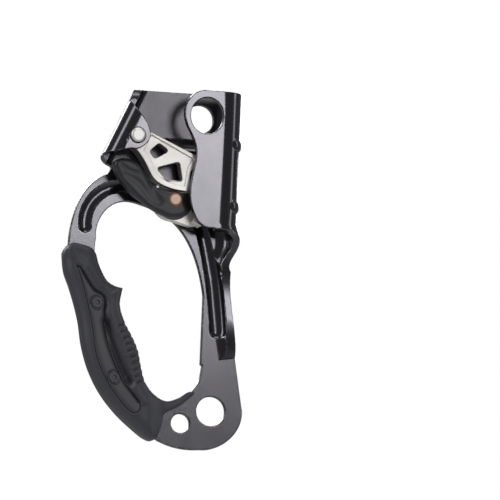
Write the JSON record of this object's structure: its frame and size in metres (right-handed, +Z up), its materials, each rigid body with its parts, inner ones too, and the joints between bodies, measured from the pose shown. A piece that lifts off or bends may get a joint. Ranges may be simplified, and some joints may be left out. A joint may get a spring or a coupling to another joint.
{
  "type": "hand ascender",
  "caption": "Handled rope ascender: folded plate with rope channel, toothed cam on a riveted axle, locking trigger and rubber grip.",
  "frame": {"origin": "centre of the large lower hole, in the middle of the plate's thickness", "axes": "+X towards the rope channel, +Z up along the rope, +Y away from the viewer who faces the cam, along the hole's axis"},
  "size_m": [0.0999, 0.0343, 0.1885],
  "materials": {
    "anodised": "black anodised aluminium sheet, semi-gloss",
    "cast_steel": "satin cast steel",
    "rivet_steel": "satin steel",
    "bronze": "plain bronze",
    "zinc_steel": "zinc plated",
    "spring_steel": "drawn wire",
    "black_plastic": "moulded nylon, satin",
    "brass": "satin brass",
    "grip_rubber": "moulded rubber, fine texture",
    "grip_panel": "moulded plastic, satin",
    "black_steel": "blackened steel"
  },
  "bodies": {
    "root": {"frame": "anodised", "cam_axle": "rivet_steel", "cam_front_washer": "zinc_steel", "cam_rear_washer": "zinc_steel", "cam_spring": "spring_steel", "grip_front_shell": "grip_rubber", "grip_rear_shell": "grip_rubber", "grip_front_panel": "grip_panel", "grip_rear_panel": "grip_panel", "upper_grip_screw": "black_steel", "lower_grip_screw": "black_steel", "upper_grip_nut": "black_steel", "lower_grip_nut": "black_steel"},
    "cam": {"cam": "cast_steel", "cam_bush": "bronze", "trigger_rivet": "brass", "trigger_shim": "black_plastic"},
    "trigger": {"trigger": "black_plastic", "trigger_washer": "brass", "trigger_spring": "spring_steel"}
  },
  "joints": [
    {"name": "cam_pivot", "type": "hinge", "parent": "root", "child": "cam", "pos_m": [-0.0495, 0, 0.1413], "axis": [0, 1, 0], "range_deg": [-8, 61], "stiffness_Nm_per_rad": 0.15, "springref_deg": -11.46},
    {"name": "trigger_pivot", "type": "hinge", "parent": "cam", "child": "trigger", "pos_m": [-0.0269, 0, 0.1092], "axis": [0, 1, 0], "range_deg": [-40.1, 5.7], "stiffness_Nm_per_rad": 0.05, "springref_deg": 2.86}
  ],
  "couplings": [
    {"joint": "trigger_pivot", "follows": "cam_pivot", "ratio": -0.65}
  ]
}
